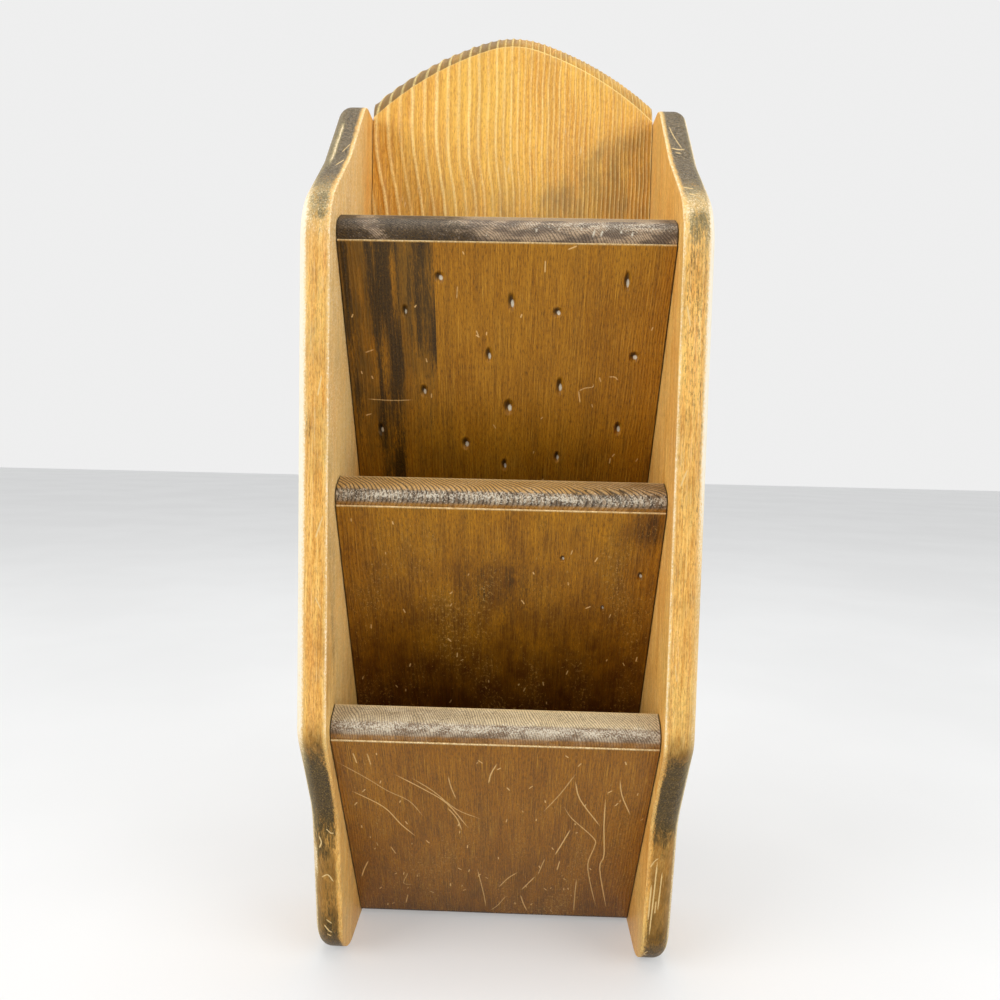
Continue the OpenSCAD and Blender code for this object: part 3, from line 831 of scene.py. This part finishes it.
def pocket_board(which, material, dents, scratches, specks, tilt, rubbed_at, flat_from, grooves=(), nicks=()):
    """A pocket's front board. Returns it with its points as [across, down the face, into the thickness].

    specks is the number of small scratches. rubbed_at is the middle and half width of the band of painted
    sheen, and flat_from the start of the top's tone, all in degrees round the nose. tilt slants the growth
    rings there.
    """
    pocket = POCKETS[which]
    reach, height, lean = pocket
    section, face_end = pocket_section(pocket)
    half = INNER_W - END_GAP
    extra = [STREAK_EDGE - 0.2, STREAK_EDGE + 0.2, 0.9 - half, 0.4 - half, half - 0.9, half - 0.4]
    for start, end, pitch in grooves:
        extra.extend(np.arange(start, end, pitch / 8))
    for nick_x, _, a, _ in nicks:
        extra.extend(nick_x + np.linspace(-a, a, 9))
    columns = np.sort(np.append(np.linspace(-half, half, 70), extra))
    strokes = scratches + small_strokes(specks, 3.0, 2 * half - 4, face_end - 4)
    bm = grid_mesh([[to_scene(x, *board_point(pocket, s, w)) for s, w in section] for x in columns])

    def face_places(co):
        dr, dz = reach - (WALL_Y - co[:, 1] / MM), height - co[:, 2] / MM
        return co[:, 0] / MM, dr * sin(lean) + dz * cos(lean), dr * cos(lean) - dz * sin(lean)

    def near(middles, span):
        x, s, w = face_places(middles)
        close = scratched(strokes, x, s, 1)[1] < span + 0.3
        if span > 0.5:
            for dx, ds, _, b in dents:
                close |= np.hypot(x - dx, s - ds) < span + b + 0.8
        return close & (np.abs(w) < 0.3) & (s > 0.9)

    refine(bm, near)
    obj = finish_mesh(which + "_pocket_wood", bm, material, which + "_pocket_board")
    x, s, w = face_places(np.array([v.co for v in obj.data.vertices]))
    on_face = (np.abs(w) < 0.2) & (s > 0.5)
    scar = scratched(strokes, x, s, 0.5)[0] * on_face
    depth = 0.12 * scar + 0.1 * wobble(np.column_stack([x, s * 0.2, w]), 0.05, 5)
    painted_recess_shade, glint_and_chips, shaded, chipped = np.zeros((4, len(x)))
    for dx, ds, a, b in dents:
        q = np.hypot((x - dx) / a, (s - ds) / b)
        depth += DENT * np.clip(1 - q * q, 0, 1) ** 0.8 - 0.12 * bell(q - 1.2, 0.4)
        # Each dent: painted shade on its upper left side and a painted highlight on its lower right side
        painted_recess_shade = np.maximum(painted_recess_shade, 0.8 * bell(np.hypot((x - dx + 0.25 * a) / a, (s - ds + 0.2 * b) / b), 1.4))
        glint_and_chips = np.maximum(glint_and_chips, bell(np.hypot((x - dx - 0.25 * a) / a, (s - ds - 0.2 * b) / b), 0.72))
    p = points_of(obj)
    p += (depth * on_face)[:, None] * (0, -cos(lean), sin(lean))
    on_nose = (s < -0.2) & (w < NOSE_R + 0.5)
    for start, end, pitch in grooves:
        along = np.clip(np.minimum(x - start, end - x) / 6, 0, 1) * np.clip(w - NOSE_STEP, 0, 1)
        groove = bell((x + 0.55 * (w - s)) / pitch % 1 - 0.5, 0.36) * along * on_nose
        p -= (0.8 * groove)[:, None] * nose_normal(s, w, lean)
        shaded = np.maximum(shaded, groove)
    for nick_x, nick_s, a, b in nicks:
        nick = bell(np.hypot((x - nick_x + 0.3 * (s - nick_s)) / a, (s - nick_s) / b), 1) * on_nose
        p -= (0.35 * nick)[:, None] * nose_normal(s, w, lean)
        chipped = np.maximum(chipped, nick)
    move_points(obj, p)
    smooth_by_angle(obj)
    top = w > NOSE_STEP * 0.6
    nose_angle = np.degrees(np.arcsin(np.clip(-s / NOSE_R, 0, 1)))
    step_line = bell(s - 0.1, 0.38) * ~top * (0.72 + 0.25 * wobble(np.column_stack([x, s, w]), 0.4, 9))
    marks = dict(end=np.clip((0.35 - s) / 0.3, 0, 1) * top * (w < BOARD_T - 0.05),
                 # A band of painted sheen round the nose
                 rub=bell(nose_angle - rubbed_at[0], rubbed_at[1]) * top * (w < NOSE_R + 1),
                 worn=np.maximum(step_line, bell(np.hypot(s + NOSE_R, w - BOARD_T), 1.8) * 0.5),
                 # Painted shade in the dents, and in the gaps along both ends
                 scar=scar, painted_recess_shade=np.maximum(painted_recess_shade * on_face, 0.9 * bell(np.abs(x) - half, 0.6)),
                 # A painted highlight in the dents, and bare wood in the nose's chips
                 glint_and_chips=np.maximum(glint_and_chips * on_face, 0.62 * chipped), stain=0.6 * shaded,
                 flat=np.clip((nose_angle - flat_from) / 7, 0, 1) * top)
    w = w - tilt * np.minimum(s, 0)
    down = np.clip(s / face_end, 0, 1) * on_face
    return obj, x, s, w, down, nose_angle, marks


def nose_normal(s, w, lean):
    """Outwards from the rounded nose, as x, reach, z."""
    rise, out = np.maximum(-s, 0), np.maximum(NOSE_R + NOSE_STEP - w, 0)
    length = np.maximum(np.hypot(rise, out), 0.1)
    rise, out = rise / length, out / length
    return np.column_stack([np.zeros_like(rise), rise * sin(lean) + out * cos(lean),
                            rise * cos(lean) - out * sin(lean)])


def top_board(material):
    obj, x, s, w, down, _, marks = pocket_board(
        "top", material, TOP_DENTS, TOP_SCRATCHES, specks=26, tilt=0.9, rubbed_at=(60, 40), flat_from=83,
        nicks=NOSE_NICKS)
    on_face = s > 0.4
    streaked = np.clip((STREAK_EDGE + 0.2 - x) / 0.4, 0, 1) * np.interp(s, [0.5, 70, 120], [1.0, 0.9, 0.35])
    sway = 2.2 * wobble(np.column_stack([x * 0.4, s * 0.5, w]), 0.06, 31)
    broken = np.clip(1 + 0.8 * wobble(np.column_stack([x * 1.5, s * 0.1, w]), 0.3, 37), 0.5, 1.4)
    fading = np.where(x > -44, np.interp(s, [0, 42, 60], [1, 1, 0.3]), 1)
    black = np.interp(x + sway, STREAK_X, STREAK_DEPTH) * streaked * on_face * 1.3 * broken * fading
    band = bell(x + sway + 49, 6.5) * 0.72 * on_face * np.clip(broken, 0.7, 1.2)
    nose_black = np.interp(x + sway - s - 2, [-66, -56, -52, -46, -34, -16, -8, 62, 69],
                           [0.62, 0.64, 0.15, 0.6, 0.7, 0.5, 0.05, 0.0, 0.4]) * (s < 0)
    marks["stain"] = np.maximum.reduce([black, band, nose_black * marks["end"]])
    # The painted sheen is faint at the left and strongest at the right
    marks["rub"] *= np.interp(x, [-69, 0, 40], [0.3, 0.4, 0.9])
    crest = bell((s + NOSE_R) / np.interp(x, [-69, -60, -20, 0], [0.7, 1.5, 1.3, 0.55]), 1) * (s < -1) * 0.5
    marks["worn"] = np.maximum(marks["worn"], crest * np.interp(w + 0.9 * s, [1.5, 3.5], [1, 0]))
    smoked = 0.6 * streaked * np.clip(broken, 0.5, 1) * fading ** 0.5 * on_face
    # Darker towards the lower end, which lies inside the middle pocket: stain and painted shade
    marks["shade"] = np.maximum(smoked, 0.4 * np.clip(down * 1.6 - 0.7, 0, 1))
    marks["scuff"] = 0.3 * down * on_face
    set_values(obj, np.column_stack([x, w, s + WOOD_START["top"]]), **marks)


def middle_board(material):
    obj, x, s, w, down, angle, marks = pocket_board(
        "middle", material, MIDDLE_DENTS, [], specks=40, tilt=-0.6, rubbed_at=(38, 34), flat_from=55,
        grooves=[(27, 57, 5.0)])
    on_face = s > 0.4
    marks["end"] *= np.interp(angle, [12, 26], [0.45, 1])
    marks["flat"] *= np.interp(x, [25, 69], [1, 0.45])
    dark = np.maximum(bell(np.hypot((x + 4) / 34, (s - 42) / 36), 1),
                      bell(np.hypot((x - 62) / 20, (s - 8) / 20), 1))
    marks["stain"] = np.where(on_face, 0.34 * dark, marks["stain"])
    # Darker towards the lower end, which lies inside the bottom pocket: stain and painted shade
    marks["shade"] = np.maximum(np.clip(0.05 + down * 0.85, 0, 1) * on_face, 0.5 * dark * on_face)
    marks["scuff"] = np.maximum(np.interp(down, [0, 0.2, 0.8], [0.6, 1.0, 1.1]), 1.2 * dark) * on_face
    set_values(obj, np.column_stack([x, w, s + WOOD_START["middle"]]), **marks)


def bottom_board(material):
    obj, x, s, w, down, angle, marks = pocket_board(
        "bottom", material, [], BOTTOM_SCRATCHES, specks=64, tilt=0.0, rubbed_at=(52, 32), flat_from=64)
    marks["end"] *= np.interp(angle, [22, 36], [0.45, 1])
    marks["flat"] *= np.interp(x, [-69, -40, 20], [0.75, 0.55, 1])
    # Darker towards the lower end near the floor, stain and painted shade, and darker still in a band along
    # the lower edge
    marks["shade"] = 0.3 * down
    smoky = 0.32 * marks["flat"] * np.interp(x, [-69, -58, -30, -5], [0.2, 1, 0.8, 0])
    marks["stain"] = np.maximum(0.75 * bell(down - 1, 0.02), smoky)
    marks["scuff"] = (0.6 + 0.6 * down) * (s > 0.4)
    set_values(obj, np.column_stack([x, w, s + WOOD_START["bottom"]]), **marks)


# Stage

# The camera stands where the photograph was taken from. Its angles are in radians.
CAMERA_PLACE = (6.8, -354.9, 242.1)
CAMERA_DOWN, CAMERA_TURN, CAMERA_ROLL = 0.065, 0.022, 0.023
LENS_MM, SENSOR_MM = 27.72, 36

# The sky that lights the holder, the white that the camera sees, and the floor's glow in the camera
SKY_STRENGTH, BACKDROP_STRENGTH, FLOOR_GLOW = 0.54, 0.86, 0.3

# Each lamp's place and width in metres, and its power in watts
LAMPS = {"key": ((1.45, -0.92, 0.85), 1.5, 19), "fill": ((-1.4, -0.9, 0.8), 1.3, 19.5),
         "top": ((0.0, -0.2, 1.6), 0.9, 7)}
LAMP_AIM = (0, 0, 0.22)


def camera():
    ahead = Vector((-sin(CAMERA_TURN) * cos(CAMERA_DOWN), cos(CAMERA_TURN) * cos(CAMERA_DOWN),
                    -sin(CAMERA_DOWN)))
    level = Vector((cos(CAMERA_TURN), sin(CAMERA_TURN), 0))
    above = level.cross(ahead)
    right = level * cos(CAMERA_ROLL) + above * sin(CAMERA_ROLL)
    up = above * cos(CAMERA_ROLL) - level * sin(CAMERA_ROLL)
    data = bpy.data.cameras.new("camera")
    data.lens, data.sensor_width = LENS_MM, SENSOR_MM
    data.clip_start = 0.01
    obj = new_object("camera", data)
    turn = Matrix((right, up, -ahead)).transposed().to_4x4()
    obj.matrix_world = Matrix.Translation(Vector(CAMERA_PLACE) * MM) @ turn
    bpy.context.scene.camera = obj


def seen_directly(n):
    """1 where the camera, a reflection or glass sees the surface."""
    path = n.add("ShaderNodeLightPath").outputs
    bent = n.math("MAXIMUM", path["Is Glossy Ray"], path["Is Transmission Ray"])
    return n.math("MAXIMUM", path["Is Camera Ray"], bent)


def floor():
    """A pale floor. Only the camera sees it glow, so it keeps the shadow and adds no light."""
    bm = bmesh.new()
    bmesh.ops.create_grid(bm, x_segments=1, y_segments=1, size=6)
    obj = mesh_object("floor", bm)
    n = Nodes(bpy.data.materials.new("floor_paint"))
    place = n.add("ShaderNodeTexCoord").outputs["Object"]
    tone = n.smooth(n.noise(place, scale=3, detail=3), 0.3, 0.7)
    colour = n.mix(tone, srgb(196, 196, 195), srgb(202, 202, 201))
    paint = n.add("ShaderNodeBsdfPrincipled", {"Base Color": colour, "Roughness": 0.8})
    glow = n.add("ShaderNodeEmission", {"Color": (1, 1, 1, 1),
                                        "Strength": n.times(seen_directly(n), FLOOR_GLOW)})
    both = n.add("ShaderNodeAddShader", {0: paint.outputs[0], 1: glow.outputs[0]})
    output = n.add("ShaderNodeOutputMaterial")
    n.tree.links.new(both.outputs[0], output.inputs[0])
    obj.data.materials.append(n.owner)


def world():
    """A soft sky for the light, and white for the eye."""
    studio = bpy.data.worlds.new("studio")
    bpy.context.scene.world = studio
    n = Nodes(studio)
    sky = n.add("ShaderNodeBackground", {"Color": (0.96, 0.98, 1.0, 1), "Strength": SKY_STRENGTH})
    white = n.add("ShaderNodeBackground", {"Color": (1, 1, 1, 1), "Strength": BACKDROP_STRENGTH})
    mix = n.add("ShaderNodeMixShader", {0: seen_directly(n), 1: sky.outputs[0], 2: white.outputs[0]})
    output = n.add("ShaderNodeOutputWorld")
    n.tree.links.new(mix.outputs[0], output.inputs[0])


def area_light(name, place, size, power):
    data = bpy.data.lights.new(name, "AREA")
    data.shape, data.size, data.energy = "DISK", size, power
    obj = new_object(name, data)
    obj.location = place
    obj.rotation_euler = (Vector(LAMP_AIM) - Vector(place)).to_track_quat("-Z", "Y").to_euler()


# The woods: what the three pocket boards share, and each board's own tones
BROWN = dict(
    grit=0.6, pore_share=0.6, gloss=0.22, bright=(212, 156, 56), line=(88, 52, 8), olive=(86, 66, 16),
    fleck=(78, 46, 6), streak=(102, 60, 8), scar=(222, 180, 116), chip=(186, 142, 74), shade=(84, 54, 10),
    stain=(30, 20, 6), stain_light=(84, 60, 18), cream=(244, 224, 176))
GOLDEN_PINE = dict(
    ring_share=0.0, light=(248, 194, 82), dark=(212, 150, 52), cream=(253, 226, 150),
    shade=(126, 98, 50), fleck=(164, 110, 38))
SIDE_PINE = dict(
    ring_share=0.35, olive_share=0.3, streak_share=0.5, pore_share=0.45, gloss=0.2,
    light=(252, 204, 112), dark=(212, 150, 64), streak=(206, 134, 56), fleck=(146, 98, 44),
    bright=(255, 228, 168), stain=(24, 20, 6), stain_light=(104, 82, 32), shade=(116, 80, 20),
    pale=(232, 214, 150), cream=(238, 229, 208))
TOP_PINE = BROWN | dict(
    ring_share=0.05, end_share=0.75, light=(184, 125, 24), dark=(148, 95, 9), end=(116, 98, 80),
    end_pale=(176, 150, 120), shade=(100, 70, 18))
MIDDLE_PINE = BROWN | dict(
    ring_share=0.06, olive_share=0.5, chip_share=0.7, light=(192, 130, 18),
    dark=(140, 89, 7), end=(112, 92, 70), end_pale=(158, 136, 108), end_top=(196, 152, 84), shade=(76, 38, 3))
BOTTOM_PINE = BROWN | dict(
    ring_share=0.28, end_share=0.7, chip_share=0.65, light=(170, 110, 18), dark=(126, 78, 7),
    end=(132, 108, 84), end_pale=(180, 160, 134), end_top=(220, 198, 154))


def build():
    camera()
    golden = wood("golden_pine", 2.4, (-70, -31.5), **GOLDEN_PINE)
    side_wood = wood("side_pine", 3.4, (-20, 60), **SIDE_PINE)
    top_wood = wood("top_pocket_pine", 1.1, (-170, -115), **TOP_PINE)
    middle_wood = wood("middle_pocket_pine", 1.35, (179, 222), **MIDDLE_PINE)
    bottom_wood = wood("bottom_pocket_pine", 0.95, (250, 150), **BOTTOM_PINE)
    steel = nail_steel()
    for node in NAIL_NODES:
        for slot in frame["nodes"][node].material_slots:
            slot.material = steel
    side_board("left_side", -1, side_wood)
    side_board("right_side", 1, side_wood)
    back_board(golden)
    top_board(top_wood)
    middle_board(middle_wood)
    bottom_board(bottom_wood)
    floor()
    world()
    for name, lamp in LAMPS.items():
        area_light(name, *lamp)
    bpy.context.scene.view_settings.view_transform = "Standard"


build()
bpy.context.view_layer.update()
